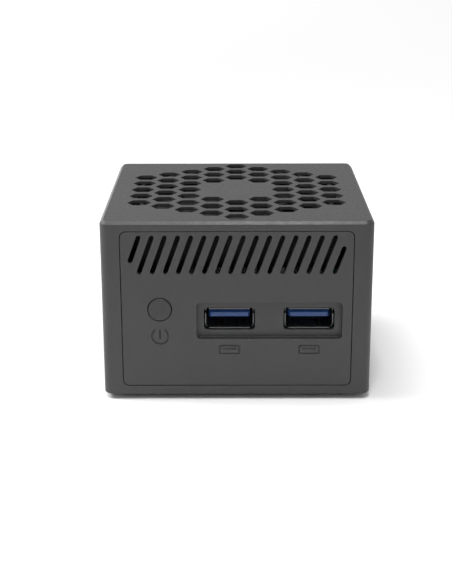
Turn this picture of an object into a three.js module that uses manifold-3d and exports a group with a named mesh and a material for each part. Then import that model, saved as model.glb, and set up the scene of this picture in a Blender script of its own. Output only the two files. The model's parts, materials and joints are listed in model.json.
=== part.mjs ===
// A palm-sized desktop computer: a square moulded housing with a honeycomb fan grille on top, inset front
// and rear panels with slanted vents, and inside it a mainboard, a cooler, an axial fan, a drive and the
// connectors.
// Millimetres, +Z up, front towards -Y, origin on the table under the middle of the body.

import * as THREE from 'three';
import { mergeVertices } from 'three/addons/utils/BufferGeometryUtils.js';
import Module from 'manifold-3d';

const wasm = await Module();
wasm.setup();

// ---- driving dimensions -------------------------------------------------------------------------

const WIDTH = 72; // along X
const DEPTH = 72; // along Y
const BODY_HEIGHT = 48.4; // housing alone, without the feet
const FOOT_STANDS = 1.4; // how far the feet lift the body
const CORNER_RADIUS = 2.5; // the housing's upright corners
const TOP_CHAMFER = 0.9;
const BOTTOM_CHAMFER = 0.3;
const WALL = 2.1;
const TOP_WALL = 2;
const TOP_SKIN_OVER_SCREW = 0.9; // what the fan's screws leave of the top
const SEAT = 0.1; // between two pieces that rest on each other
const SLIP = 0.25; // around a piece that is let into another

const PANEL_SIDE = 5.4; // from the housing's side to the panel
const PANEL_BELOW = 2.7; // from the housing's underside to the panel
const PANEL_ABOVE = 2.8; // from the panel to the housing's top
const PANEL_RADIUS = 1.5;
const PANEL_SKIN = 1.35; // the panel's plate
const HOOK_WIDTH = 1.6;
const HOOK_THICK = 1.1;
const HOOK_BARB = 0.7; // how far a hook reaches behind the housing's wall
const PANEL_LIP = 0.8; // the ledge that the plate rests on
const PANEL_SLIP = 0.15; // the seam around a panel

const SLOT_COUNT = 17;
const SLOT_WIDTH = 1.2;
const SLOT_LEAN = THREE.MathUtils.degToRad(20); // from upright
const SLOT_LENGTH = 10.05; // between the centres of its round ends
const SLOT_SHORT = 6.85; // the same, on the first and last slot
const REAR_SLOT_LENGTH = 6.85; // on the rear panel, where the connectors stand higher
const SLOT_EDGE = 3.15; // from the panel's side to the middle of the first slot
const SLOT_DROP = 6.23; // from the panel's top to the middle of the slots

const CELL = 7.73; // honeycomb pitch
const CELL_HOLE = 5.8; // across the flats of one hole
const CELL_RINGS = 4; // rings of cells around the middle one
const CELL_BLANK = 1; // inner rings left closed, over the fan's hub
const GRILLE_THICK = 0.95; // the top is thinned around the cells
const GRILLE_MARGIN = 3.9; // from the middle of the outermost cells to the corner of the thin part

const BOARD_THICK = 1.6;
const BOARD_GAP = 0.5; // from the board's edge to the housing's side walls
const BOARD_SETBACK = 4.2; // from the housing's front or rear face to the board
const BOARD_SCREW_Y = 20;

const FAN_SIZE = 59.6;
const FAN_THICK = 10;
const FAN_CLEAR = 0.4; // from the tallest rear connector up to the fan
const FAN_HOLE_PITCH = 50;
const FAN_DROP = 2.4; // from the inside of the top down to the fan
const FAN_DUCT = 57.4; // bore diameter
const FAN_TIP_GAP = 0.6;
const FAN_HUB = 27;
const FAN_BLADES = 7;

const RECESS_WIDTH = 38.7;
const RECESS_HEIGHT = 10.2;
const RECESS_DEPTH = 1.8;
const RECESS_RADIUS = 1;
const RECESS_SIDE = 2.6; // from the recess to the panel's right edge
const RECESS_BACK = 1.2; // plate left behind the recess
const USB_PITCH = 21.28;
const USB_WIDTH = 13.1;
const USB_HEIGHT = 5.72;
const USB_DEPTH = 13;
const USB_SHEET = 0.32; // thickness of the metal shell
const USB_TONGUE_WIDTH = 11.1;
const USB_TONGUE_THICK = 1.84;
const PORT_STACK = 15.4; // height of a rear connector with one socket above another
const PORT_SLIP = 0.24; // between a connector and the hole that it looks out of

const BUTTON_RADIUS = 3.1;
const BUTTON_SIDE = 10.1; // from the panel's left edge to the button's axis
const BUTTON_RISE = 6.2; // from the board to the button's axis
const BUTTON_PROUD = 0.4;
const BUTTON_SLIP = 0.15;
const BUTTON_TRAVEL = 0.4; // the switch's plunger moves as far
const ICON_RISE = -7.45; // from the button's axis to the middle of the power mark
const PORT_MARK_DROP = 3.01; // from the recess down to the middle of a port's mark
const ICON_DEPTH = 0.3;
const ICON_STROKE = 0.4;

const POST_RADIUS = 2.5;
const POST_INSET = 4.8; // from the housing's side to the screw post's axis
const SCREW_SLIP = 0.1; // between a screw's shank and its hole
const COVER_THICK = 2;
const COVER_REBATE = 0.4; // how far the cover is let into the housing's walls
const FOOT_RADIUS = 4;
const FOOT_INSET = 12; // from the housing's side to a foot's axis
const FOOT_LET_IN = 0.5;

// ---- levels and half sizes that follow from them ------------------------------------------------

const TOP = FOOT_STANDS + BODY_HEIGHT;
const CAVITY_X = WIDTH / 2 - WALL;
const CAVITY_Y = DEPTH / 2 - WALL;
const CEILING = TOP - TOP_WALL;
const FRONT = -DEPTH / 2;
const PANEL_WIDTH = WIDTH - 2 * PANEL_SIDE;
const PANEL_LOW = FOOT_STANDS + PANEL_BELOW;
const PANEL_HEIGHT = BODY_HEIGHT - PANEL_BELOW - PANEL_ABOVE;
const PANEL_MID = PANEL_LOW + PANEL_HEIGHT / 2;
const PANEL_BACK = FRONT + PANEL_SKIN; // the front panel's inner face
const SLOT_MID = PANEL_LOW + PANEL_HEIGHT - SLOT_DROP;
const SLOT_PITCH = (PANEL_WIDTH - 2 * SLOT_EDGE) / (SLOT_COUNT - 1);
const FAN_TOP = CEILING - FAN_DROP;
const FAN_LOW = FAN_TOP - FAN_THICK;
const BOARD_TOP = FAN_LOW - FAN_CLEAR - PORT_STACK - SEAT;
const BOARD_X = CAVITY_X - BOARD_GAP;
const BOARD_Y = DEPTH / 2 - BOARD_SETBACK;
const BOARD_LOW = BOARD_TOP - BOARD_THICK;
const ON_BOARD = BOARD_TOP + SEAT;
const UNDER_BOARD = BOARD_LOW - SEAT;
const POST_X = WIDTH / 2 - POST_INSET;
const POST_Y = DEPTH / 2 - POST_INSET;
const COVER_TOP = FOOT_STANDS + COVER_THICK;
const COVER_HALF_X = CAVITY_X + COVER_REBATE;
const COVER_HALF_Y = CAVITY_Y + COVER_REBATE;
const COVER_CORNER = CORNER_RADIUS - WALL + COVER_REBATE - SLIP;
const BOARD_BOSS_RADIUS = 1.8;
const BOARD_BOSS_X = CAVITY_X - BOARD_BOSS_RADIUS - 0.1;
const FAN_HOLE = FAN_HOLE_PITCH / 2;
const FAN_BOSS_RADIUS = 2.3;
const USB_AXIS = ON_BOARD + USB_HEIGHT / 2;
const RECESS_FLOOR = FRONT + RECESS_DEPTH;
const RECESS_X = PANEL_WIDTH / 2 - RECESS_SIDE - RECESS_WIDTH / 2;
const BUTTON_X = -PANEL_WIDTH / 2 + BUTTON_SIDE;
const BUTTON_Z = BOARD_TOP + BUTTON_RISE;
const SIGNS = [-1, 1];

// ---- screws: head radius and height, shank radius and length ------------------------------------

const COVER_SCREW = { head: 1.9, headHigh: 1.1, shank: 0.95, long: 9 };
const BOARD_SCREW = { head: 1.6, headHigh: 1, shank: 0.85, long: 6 };
const COOLER_SCREW = { head: 1.8, headHigh: 1, shank: 0.85, long: 4.4 };
const FAN_SCREW_SINK = 1.7; // the counterbore in the fan's frame, so that the heads lie below its face
const FAN_SCREW_BITE = 0.6; // how far the fan's screws reach into the top itself
const FAN_SCREW_LONG = FAN_THICK - FAN_SCREW_SINK + SEAT + FAN_DROP + FAN_SCREW_BITE;
const FAN_SCREW = { head: 2.4, headHigh: 1.4, shank: 1.2, long: FAN_SCREW_LONG };
const DRIVE_SCREW = { head: 1.9, headHigh: 0.8, shank: 0.85, long: 2.6 };

// ---- materials ----------------------------------------------------------------------------------

const material = (color, roughness, metalness = 0) =>
  new THREE.MeshStandardMaterial({ color, roughness, metalness });
const GREY_PLASTIC = material(0x4b4c4e, 0.55);
const BLACK_PLASTIC = material(0x141416, 0.5);
const BLUE_PLASTIC = material(0x1f4fa8, 0.4);
const RUBBER = material(0x1b1b1c, 0.9);
const STEEL = material(0xa9abad, 0.35, 1);
const BLACK_STEEL = material(0x2a2a2c, 0.4, 1);
const ALUMINIUM = material(0xc3c6c9, 0.35, 1);
const GOLD = material(0xd8b25a, 0.3, 1);
const COPPER = material(0xb8713f, 0.35, 1);
const BOARD_GREEN = material(0x12372b, 0.6);
const CHIP_BLACK = material(0x1a1a1c, 0.65);
const FERRITE = material(0x3a3636, 0.7);
const WIRE_BLACK = material(0x101010, 0.6);

// ---- solids -------------------------------------------------------------------------------------

// A closed three.js geometry as a solid for cutting and joining.
function solid(geometry) {
  const bare = geometry.index ? geometry.toNonIndexed() : geometry.clone();
  bare.deleteAttribute('normal');
  bare.deleteAttribute('uv');
  const merged = mergeVertices(bare, 1e-4);
  const vertProperties = merged.attributes.position.array;
  const triVerts = new Uint32Array(merged.index.array);
  return new wasm.Manifold(new wasm.Mesh({ numProp: 3, vertProperties, triVerts }));
}

const join = (...solids) => solids.flat(Infinity).reduce((whole, next) => whole.add(next));
const cut = (whole, ...tools) => tools.flat(Infinity).reduce((left, tool) => left.subtract(tool), whole);

function block([x0, x1], [y0, y1], [z0, z1]) {
  const box = new THREE.BoxGeometry(x1 - x0, y1 - y0, z1 - z0);
  return solid(box.translate((x0 + x1) / 2, (y0 + y1) / 2, (z0 + z1) / 2));
}

// An upright round bar, and one that lies along Y.
function rod(x, y, radius, z0, z1, sides = 16) {
  const bar = new THREE.CylinderGeometry(radius, radius, z1 - z0, sides).rotateX(Math.PI / 2);
  return solid(bar.translate(x, y, (z0 + z1) / 2));
}

function rodAlongY(x, z, radius, y0, y1, sides = 16) {
  const bar = new THREE.CylinderGeometry(radius, radius, y1 - y0, sides);
  return solid(bar.translate(x, (y0 + y1) / 2, z));
}

// The outline of a rectangle with round corners, counter-clockwise, as [u, v] pairs.
function roundedLoop(width, height, radius, steps = 4) {
  const loop = [];
  const [u, v] = [width / 2 - radius, height / 2 - radius];
  for (const [su, sv, start] of [[1, 1, 0], [-1, 1, 1], [-1, -1, 2], [1, -1, 3]]) {
    for (let i = 0; i <= steps; i++) {
      const a = ((start + i / steps) * Math.PI) / 2;
      loop.push([su * u + radius * Math.cos(a), sv * v + radius * Math.sin(a)]);
    }
  }
  return loop;
}

const shapeOf = (loop, du = 0, dv = 0) =>
  new THREE.Shape(loop.map(([u, v]) => new THREE.Vector2(u + du, v + dv)));
const roundedRect = (width, height, radius, du = 0, dv = 0, steps = 4) =>
  shapeOf(roundedLoop(width, height, radius, steps), du, dv);

// A flat outline in X and Y raised from z0 to z1, and one in X and Z run from y0 to y1.
function plate(shape, z0, z1) {
  return solid(new THREE.ExtrudeGeometry(shape, { depth: z1 - z0, bevelEnabled: false }).translate(0, 0, z0));
}

function facePlate(shape, y0, y1) {
  const raised = new THREE.ExtrudeGeometry(shape, { depth: y1 - y0, bevelEnabled: false });
  return solid(raised.rotateX(Math.PI / 2).translate(0, y1, 0));
}

// A flat outline in Y and Z run from x0 to x1.
function sidePlate(shape, x0, x1) {
  const raised = new THREE.ExtrudeGeometry(shape, { depth: x1 - x0, bevelEnabled: false });
  const [toX, toY, toZ] = [[1, 0, 0], [0, 1, 0], [0, 0, 1]].map((axis) => new THREE.Vector3(...axis));
  return solid(raised.applyMatrix4(new THREE.Matrix4().makeBasis(toY, toZ, toX)).translate(x0, 0, 0));
}

// A closed solid through convex rings of points, counter-clockwise seen from the last ring.
function loft(rings) {
  const n = rings[0].length;
  const last = (rings.length - 1) * n;
  const index = [];
  for (let k = 0; k < last; k += n) {
    for (let i = 0; i < n; i++) {
      const a = k + i;
      const b = k + ((i + 1) % n);
      index.push(a, b, b + n, a, b + n, a + n);
    }
  }
  for (let i = 1; i < n - 1; i++) {
    index.push(0, i + 1, i, last, last + i, last + i + 1);
  }
  const geometry = new THREE.BufferGeometry();
  geometry.setAttribute('position', new THREE.Float32BufferAttribute(rings.flat(2), 3));
  return solid(geometry.setIndex(index));
}

// A thin solid between two grids of points: point(u, v, side) for u and v from 0 to 1.
// Side 1 faces along u x v.
function sheet(columns, rows, point) {
  const positions = [];
  const index = [];
  const at = (side, i, j) => (side * (rows + 1) + j) * (columns + 1) + i;
  for (const side of [0, 1]) {
    for (let j = 0; j <= rows; j++) {
      for (let i = 0; i <= columns; i++) positions.push(...point(i / columns, j / rows, side));
    }
  }
  const quad = (a, b, c, d) => index.push(a, b, c, a, c, d);
  for (let j = 0; j < rows; j++) {
    for (let i = 0; i < columns; i++) {
      quad(at(0, i, j), at(0, i, j + 1), at(0, i + 1, j + 1), at(0, i + 1, j));
      quad(at(1, i, j), at(1, i + 1, j), at(1, i + 1, j + 1), at(1, i, j + 1));
    }
    quad(at(0, 0, j), at(1, 0, j), at(1, 0, j + 1), at(0, 0, j + 1));
    quad(at(0, columns, j), at(0, columns, j + 1), at(1, columns, j + 1), at(1, columns, j));
  }
  for (let i = 0; i < columns; i++) {
    quad(at(0, i, 0), at(0, i + 1, 0), at(1, i + 1, 0), at(1, i, 0));
    quad(at(0, i, rows), at(1, i, rows), at(1, i + 1, rows), at(0, i + 1, rows));
  }
  const geometry = new THREE.BufferGeometry();
  geometry.setAttribute('position', new THREE.Float32BufferAttribute(positions, 3));
  return solid(geometry.setIndex(index));
}

// A solid turned from a profile of [radius, height] points that starts and ends on the axis.
function turned(profile, sides) {
  const lathe = new THREE.LatheGeometry(profile.map(([r, h]) => new THREE.Vector2(r, h)), sides);
  return solid(lathe.rotateX(Math.PI / 2));
}

const upright = (loop, z) => loop.map(([x, y]) => [x, y, z]);
const corners = (x, y) => SIGNS.flatMap((sx) => SIGNS.map((sy) => [sx * x, sy * y]));

const group = new THREE.Group();
group.name = 'mini_pc';

// Puts a finished solid into the model as a named mesh.
function place(name, whole, look) {
  const { numProp, vertProperties, triVerts } = whole.getMesh();
  const positions = new Float32Array((vertProperties.length / numProp) * 3);
  for (let i = 0; i < positions.length / 3; i++) {
    positions.set(vertProperties.subarray(i * numProp, i * numProp + 3), i * 3);
  }
  const geometry = new THREE.BufferGeometry();
  geometry.setAttribute('position', new THREE.BufferAttribute(positions, 3));
  geometry.setIndex(new THREE.BufferAttribute(triVerts, 1));
  geometry.computeVertexNormals();
  const mesh = new THREE.Mesh(geometry, look);
  mesh.name = name;
  group.add(mesh);
}

// A screw that points up, with its head below. The head's bearing face is at z.
function screw(x, y, z, { head, headHigh, shank, long }) {
  const profile = [[0, -headHigh], [head, -headHigh], [head, 0], [shank, 0], [shank, long], [0, long]];
  return turned(profile, 6).translate(x, y, z);
}

// ---- honeycomb and slanted slots ----------------------------------------------------------------

// The middles of the grille's open cells: columns along X, cells within a column along Y.
function honeycomb() {
  const column = (CELL * Math.sqrt(3)) / 2;
  const cells = [];
  for (let q = -CELL_RINGS; q <= CELL_RINGS; q++) {
    for (let r = -CELL_RINGS; r <= CELL_RINGS; r++) {
      const ring = Math.max(Math.abs(q), Math.abs(r), Math.abs(q + r));
      if (ring <= CELL_RINGS && ring > CELL_BLANK) cells.push([q * column, (r + q / 2) * CELL]);
    }
  }
  return cells;
}

// One hexagonal hole through the top, with a flat side to the front.
function cellHole([x, y]) {
  const corner = CELL_HOLE / Math.sqrt(3);
  const loop = Array.from({ length: 6 }, (_, i) => [
    x + corner * Math.cos((i * Math.PI) / 3),
    y + corner * Math.sin((i * Math.PI) / 3),
  ]);
  return plate(shapeOf(loop), CEILING - 1, TOP + 1);
}

// The thin part of the top: a hexagon around the whole honeycomb, cut off at the walls.
function grillePocket() {
  const reach = CELL_RINGS * CELL + GRILLE_MARGIN;
  const loop = Array.from({ length: 6 }, (_, i) => [
    reach * Math.sin((i * Math.PI) / 3),
    reach * Math.cos((i * Math.PI) / 3),
  ]).reverse();
  const levels = [CEILING - 1, TOP - GRILLE_THICK];
  const inside = plate(roundedRect(2 * CAVITY_X, 2 * CAVITY_Y, CORNER_RADIUS - WALL), ...levels);
  return plate(shapeOf(loop), ...levels).intersect(inside);
}

// One round-ended slot between two points of a panel.
function slotHole([x0, z0], [x1, z1], y0, y1) {
  const lean = Math.atan2(z1 - z0, x1 - x0);
  const steps = 3;
  const loop = [];
  for (const [x, z, start] of [[x1, z1, -0.5], [x0, z0, 0.5]]) {
    for (let i = 0; i <= steps; i++) {
      const a = lean + (start + i / steps) * Math.PI;
      loop.push([x + (SLOT_WIDTH / 2) * Math.cos(a), z + (SLOT_WIDTH / 2) * Math.sin(a)]);
    }
  }
  return facePlate(shapeOf(loop), y0, y1);
}

// The row of slanted vents, with their heads in line. The first is cut short at its foot and the last at
// its head.
function ventSlots(length, y0, y1) {
  const along = [Math.sin(SLOT_LEAN), Math.cos(SLOT_LEAN)];
  const top = SLOT_LENGTH / 2;
  return Array.from({ length: SLOT_COUNT }, (_, i) => {
    const x = (i - (SLOT_COUNT - 1) / 2) * SLOT_PITCH;
    const low = top - (i === 0 ? Math.min(SLOT_SHORT, length) : length);
    const high = i === SLOT_COUNT - 1 ? SLOT_SHORT - top : top;
    const [foot, head] = [low, high].map((reach) => [x + reach * along[0], SLOT_MID + reach * along[1]]);
    return slotHole(foot, head, y0, y1);
  });
}

// ---- housing ------------------------------------------------------------------------------------

// A screw post in one corner: round towards the inside, and joined to both walls.
function cornerPost(sx, sy) {
  const reachX = [POST_X, CAVITY_X + 0.6].map((v) => v * sx).sort((a, b) => a - b);
  const reachY = [POST_Y, CAVITY_Y + 0.6].map((v) => v * sy).sort((a, b) => a - b);
  const besideX = [POST_X - POST_RADIUS, CAVITY_X + 0.6].map((v) => v * sx).sort((a, b) => a - b);
  const besideY = [POST_Y - POST_RADIUS, CAVITY_Y + 0.6].map((v) => v * sy).sort((a, b) => a - b);
  const levels = [COVER_TOP + SEAT, CEILING + 0.5];
  return join(
    rod(sx * POST_X, sy * POST_Y, POST_RADIUS, ...levels, 12),
    block(reachX, besideY, levels),
    block(besideX, reachY, levels),
  );
}

// A boss that the board is screwed up against. A rib joins it to the side wall.
function boardBoss([x, y]) {
  const levels = [ON_BOARD, CEILING + 0.5];
  const reach = [x, Math.sign(x) * (CAVITY_X + 0.5)].sort((a, b) => a - b);
  return join(rod(x, y, BOARD_BOSS_RADIUS, ...levels, 12), block(reach, [y - 0.7, y + 0.7], levels));
}

// The window that a panel is let into from outside: a wide rebate, then a ledge around the opening.
function panelWindow(side) {
  const [outside, ledge] = [side * (DEPTH / 2 + 1), side * (DEPTH / 2 - PANEL_SKIN - SEAT)];
  const inside = side * (CAVITY_Y - 1);
  const span = (a, b) => [Math.min(a, b), Math.max(a, b)];
  const [width, height] = [PANEL_WIDTH + 2 * PANEL_SLIP, PANEL_HEIGHT + 2 * PANEL_SLIP];
  const wide = roundedRect(width, height, PANEL_RADIUS + PANEL_SLIP, 0, PANEL_MID);
  const [open, high] = [PANEL_WIDTH - 2 * PANEL_LIP, PANEL_HEIGHT - 2 * PANEL_LIP];
  const narrow = roundedRect(open, high, PANEL_RADIUS, 0, PANEL_MID);
  return join(facePlate(wide, ...span(outside, ledge)), facePlate(narrow, ...span(outside, inside)));
}

// A hole for a screw's shank.
function screwBore([x, y], { shank }, low, high) {
  return rod(x, y, shank + SCREW_SLIP, low, high, 8);
}

function makeHousing() {
  const steps = 4;
  const ring = (inset, z) =>
    upright(roundedLoop(WIDTH - 2 * inset, DEPTH - 2 * inset, CORNER_RADIUS - inset, steps), z);
  const outer = loft([
    ring(BOTTOM_CHAMFER, FOOT_STANDS),
    ring(0, FOOT_STANDS + BOTTOM_CHAMFER),
    ring(0, TOP - TOP_CHAMFER),
    ring(TOP_CHAMFER, TOP),
  ]);
  const cavity = plate(roundedRect(2 * CAVITY_X, 2 * CAVITY_Y, CORNER_RADIUS - WALL), 0, CEILING);
  const coverSeat = plate(
    roundedRect(2 * (COVER_HALF_X + SLIP), 2 * (COVER_HALF_Y + SLIP), COVER_CORNER + SLIP),
    0,
    COVER_TOP + SEAT,
  );
  const shell = cut(outer, cavity, coverSeat);

  const posts = corners(1, 1).map(([sx, sy]) => cornerPost(sx, sy));
  const boardBosses = corners(BOARD_BOSS_X, BOARD_SCREW_Y).map(boardBoss);
  const fanBosses = corners(FAN_HOLE, FAN_HOLE).map(([x, y]) =>
    rod(x, y, FAN_BOSS_RADIUS, FAN_TOP + SEAT, CEILING + 0.5, 12));

  const bores = [
    corners(POST_X, POST_Y).map((at) => screwBore(at, COVER_SCREW, COVER_TOP, COVER_TOP + COVER_SCREW.long)),
    corners(BOARD_BOSS_X, BOARD_SCREW_Y).map((at) =>
      screwBore(at, BOARD_SCREW, BOARD_TOP, BOARD_TOP + BOARD_SCREW.long)),
    corners(FAN_HOLE, FAN_HOLE).map((at) => screwBore(at, FAN_SCREW, FAN_TOP, TOP - TOP_SKIN_OVER_SCREW)),
  ];
  const whole = cut(join(shell, posts, boardBosses, fanBosses), SIGNS.map(panelWindow));
  return cut(whole, bores, grillePocket(), honeycomb().map(cellHole));
}

// ---- panels -------------------------------------------------------------------------------------

// A hook behind the front panel that catches the wall's inner face above (towards 1) or below (towards -1).
function panelHook(x, towards) {
  const edge = PANEL_MID + towards * (PANEL_HEIGHT / 2 - PANEL_LIP - SLIP);
  const outline = [[PANEL_BACK - 0.3, 0], [-CAVITY_Y + SLIP, 0], [-CAVITY_Y + SLIP, HOOK_BARB],
    [-CAVITY_Y + SLIP + 0.5, HOOK_BARB], [-CAVITY_Y + SLIP + 1.5, -0.3], [-CAVITY_Y + SLIP + 1.5, -HOOK_THICK],
    [PANEL_BACK - 0.3, -HOOK_THICK]];
  const shape = shapeOf(outline.map(([y, reach]) => [y, edge + towards * reach]));
  return sidePlate(shape, x - HOOK_WIDTH / 2, x + HOOK_WIDTH / 2);
}

// A panel before its port holes, for the front: a plate with slanted vents, two hooks above and two below.
// The upper hooks stand between slots.
function panelBlank(slotLength) {
  const outline = roundedRect(PANEL_WIDTH, PANEL_HEIGHT, PANEL_RADIUS, 0, PANEL_MID);
  const skin = cut(facePlate(outline, FRONT, PANEL_BACK), ventSlots(slotLength, FRONT - 1, PANEL_BACK + 1));
  const hookRise = PANEL_MID + PANEL_HEIGHT / 2 - PANEL_LIP - SLIP - HOOK_THICK / 2 - SLOT_MID;
  const hooks = SIGNS.flatMap((side) => {
    const x = side * 4.5 * SLOT_PITCH;
    return [panelHook(x + hookRise * Math.tan(SLOT_LEAN), 1), panelHook(x, -1)];
  });
  return join(skin, hooks);
}

// The power mark: an open ring and an upright bar, engraved.
function powerMark() {
  const radius = 2.2;
  const gap = 0.62; // half the ring's opening, in radians
  const steps = 12;
  const loop = [];
  for (const [r, turn] of [[radius + ICON_STROKE / 2, 1], [radius - ICON_STROKE / 2, -1]]) {
    for (let i = 0; i <= steps; i++) {
      const share = turn > 0 ? i / steps : 1 - i / steps;
      const a = Math.PI / 2 + gap + share * (2 * Math.PI - 2 * gap);
      loop.push([r * Math.cos(a), r * Math.sin(a)]);
    }
  }
  const z = BUTTON_Z + ICON_RISE;
  const bar = roundedRect(ICON_STROKE, 2.7, ICON_STROKE / 2 - 0.01, BUTTON_X, z + 0.55, 2);
  return [shapeOf(loop, BUTTON_X, z), bar].map((shape) => facePlate(shape, FRONT - 1, FRONT + ICON_DEPTH));
}

// A plain mark under a port: the outline of a socket with its tongue as a bar.
function portMark(x) {
  const z = USB_AXIS - RECESS_HEIGHT / 2 - PORT_MARK_DROP;
  const frame = roundedRect(5.6, 2.6, 0.4, x, z, 2);
  const inside = roundedLoop(4.9, 1.9, 0.2, 1).map(([u, v]) => new THREE.Vector2(x + u, z + v));
  frame.holes.push(new THREE.Path(inside));
  const bar = roundedRect(3.6, 0.5, 0.1, x, z + 0.3, 1);
  return [frame, bar].map((shape) => facePlate(shape, FRONT - 1, FRONT + ICON_DEPTH));
}

const frontPorts = SIGNS.map((side) => RECESS_X + (side * USB_PITCH) / 2);

function makeFrontPanel() {
  const backed = facePlate(
    roundedRect(
      RECESS_WIDTH + 2 * RECESS_BACK,
      RECESS_HEIGHT + 2 * RECESS_BACK,
      RECESS_RADIUS,
      RECESS_X,
      USB_AXIS,
    ),
    FRONT + 1,
    RECESS_FLOOR + RECESS_BACK,
  );
  const recess = facePlate(
    roundedRect(RECESS_WIDTH, RECESS_HEIGHT, RECESS_RADIUS, RECESS_X, USB_AXIS),
    FRONT - 1,
    RECESS_FLOOR,
  );
  const through = [FRONT - 1, RECESS_FLOOR + RECESS_BACK + 1];
  const [portWidth, portHeight] = [USB_WIDTH + 2 * PORT_SLIP, USB_HEIGHT + 2 * PORT_SLIP];
  const ports = frontPorts.map((x) => facePlate(roundedRect(portWidth, portHeight, 0.9, x, USB_AXIS), ...through));
  const buttonHole = rodAlongY(BUTTON_X, BUTTON_Z, BUTTON_RADIUS + BUTTON_SLIP, ...through, 24);
  return cut(
    join(panelBlank(SLOT_LENGTH), backed),
    recess,
    ports,
    buttonHole,
    powerMark(),
    frontPorts.flatMap(portMark),
  );
}

// ---- rear connectors, from the left seen from behind --------------------------------------------

const REAR_GAP = 1.2;
const REAR_PROUD = 0.3; // how far the metal shells stand out of the rear panel
const REAR_FACE = DEPTH / 2 + REAR_PROUD;
const DC = { width: 9, height: 11, depth: 13.5, bore: 3.2, pin: 1.2 };
const HDMI = { width: 15.2, height: PORT_STACK, depth: 15, mouthWidth: 14.9, mouthHeight: 5.6, pitch: 7.6,
  sheet: 0.35 };
const ETHERNET = { width: 16, height: 13.4, depth: 17, mouthWidth: 11.9, mouthHeight: 8.6, mouthDrop: 4.9,
  mouthDepth: 13 };
const USB_STACK = { width: 13.2, height: PORT_STACK, depth: 17, pitch: 7.9 };

const rearWidths = [DC, HDMI, ETHERNET, USB_STACK].map((port) => port.width);
const rearSpan = rearWidths.reduce((sum, w) => sum + w + REAR_GAP, -REAR_GAP);
const [DC_X, HDMI_X, ETHERNET_X, USB_STACK_X] = rearWidths.map((w, i) => {
  const before = rearWidths.slice(0, i).reduce((sum, v) => sum + v + REAR_GAP, 0);
  return rearSpan / 2 - before - w / 2;
});
const DC_Z = ON_BOARD + DC.height / 2 + 0.6;
const HDMI_LOW = ON_BOARD + 0.4 + HDMI.mouthHeight / 2;
const hdmiLevels = [HDMI_LOW, HDMI_LOW + HDMI.pitch];
const USB_STACK_LOW = ON_BOARD + USB_STACK.height / 2 - USB_STACK.pitch / 2;
const usbStackLevels = [USB_STACK_LOW, USB_STACK_LOW + USB_STACK.pitch];

// The outline of a video socket: square above, with the two lower corners cut off, grown by a margin.
function hdmiOutline(z, grow) {
  const w = HDMI.mouthWidth / 2 + grow;
  const h = HDMI.mouthHeight / 2 + grow;
  const slope = 1.5;
  const loop = [[-w, h], [-w, -h + 2 * slope], [-w + slope * 0.5, -h + slope], [-w + slope, -h], [w - slope, -h],
    [w - slope * 0.5, -h + slope], [w, -h + 2 * slope], [w, h]];
  return shapeOf(loop, HDMI_X, z);
}

function makeRearPanel() {
  const through = [CAVITY_Y - 3, DEPTH / 2 + 1];
  const opening = (port, x, z) =>
    facePlate(roundedRect(port.width + 2 * PORT_SLIP, port.height + 2 * PORT_SLIP, 0.5, x, z, 2), ...through);
  return cut(
    panelBlank(REAR_SLOT_LENGTH).rotate([0, 0, 180]),
    rodAlongY(DC_X, DC_Z, DC.bore + 0.5, ...through, 24),
    hdmiLevels.map((z) => facePlate(hdmiOutline(z, PORT_SLIP), ...through)),
    opening(ETHERNET, ETHERNET_X, ON_BOARD + ETHERNET.height / 2),
    opening(USB_STACK, USB_STACK_X, ON_BOARD + USB_STACK.height / 2),
  );
}

// ---- underside ----------------------------------------------------------------------------------

const footPlaces = corners(WIDTH / 2 - FOOT_INSET, DEPTH / 2 - FOOT_INSET);
const COVER_LAND = 0.7; // what a cover screw's head bears on
const BRACKET_PITCH = 44; // between the two threaded holes for a monitor bracket
const BRACKET_BOSS = 1.8; // how far the bosses around them rise inside
const BRACKET_BORE_LEFT = 0.6; // what the holes leave of the bosses

function makeBottomCover() {
  const base = plate(
    roundedRect(2 * COVER_HALF_X, 2 * COVER_HALF_Y, COVER_CORNER),
    FOOT_STANDS,
    COVER_TOP,
  );
  const bracketPlaces = SIGNS.map((side) => (side * BRACKET_PITCH) / 2);
  const bossTop = COVER_TOP + BRACKET_BOSS;
  const bosses = bracketPlaces.map((x) => rod(x, 0, 3, COVER_TOP - 0.5, bossTop, 12));
  const intakeWidth = 30;
  const intakes = Array.from({ length: 9 }, (_, i) =>
    plate(roundedRect(intakeWidth, 1.6, 0.75, 0, (i - 4) * 3.6, 1), 0, COVER_TOP + 1));
  const holes = [
    footPlaces.map(([x, y]) => rod(x, y, FOOT_RADIUS + SLIP, 0, FOOT_STANDS + FOOT_LET_IN + SEAT, 14)),
    corners(POST_X, POST_Y).map(([x, y]) => join(
      rod(x, y, COVER_SCREW.head + SLIP, 0, COVER_TOP - COVER_LAND, 10),
      rod(x, y, COVER_SCREW.shank + SCREW_SLIP, 0, COVER_TOP + 1, 8),
    )),
    bracketPlaces.map((x) => rod(x, 0, 1.4, 0, bossTop - BRACKET_BORE_LEFT, 8)),
  ];
  return cut(join(base, bosses), intakes, holes);
}

function makeFoot(x, y) {
  const ease = 0.35;
  const profile = [[0, 0], [FOOT_RADIUS - ease, 0], [FOOT_RADIUS, ease],
    [FOOT_RADIUS, FOOT_STANDS + FOOT_LET_IN], [0, FOOT_STANDS + FOOT_LET_IN]];
  return turned(profile, 14).translate(x, y, 0);
}

// ---- power button -------------------------------------------------------------------------------

const BUTTON_NOSE = PANEL_BACK + 2.6; // the tip that presses the switch
const SWITCH_FRONT = BUTTON_NOSE + SEAT + 1.4;
const SWITCH_HOLE = 1.4; // depth of the blind hole that the plunger slides in
const PLUNGER_RADIUS = 1.7;
const lengthwise = (profile, sides, x, y, z) =>
  turned(profile, sides).rotate([-90, 0, 0]).translate(x, y, z);

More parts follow.
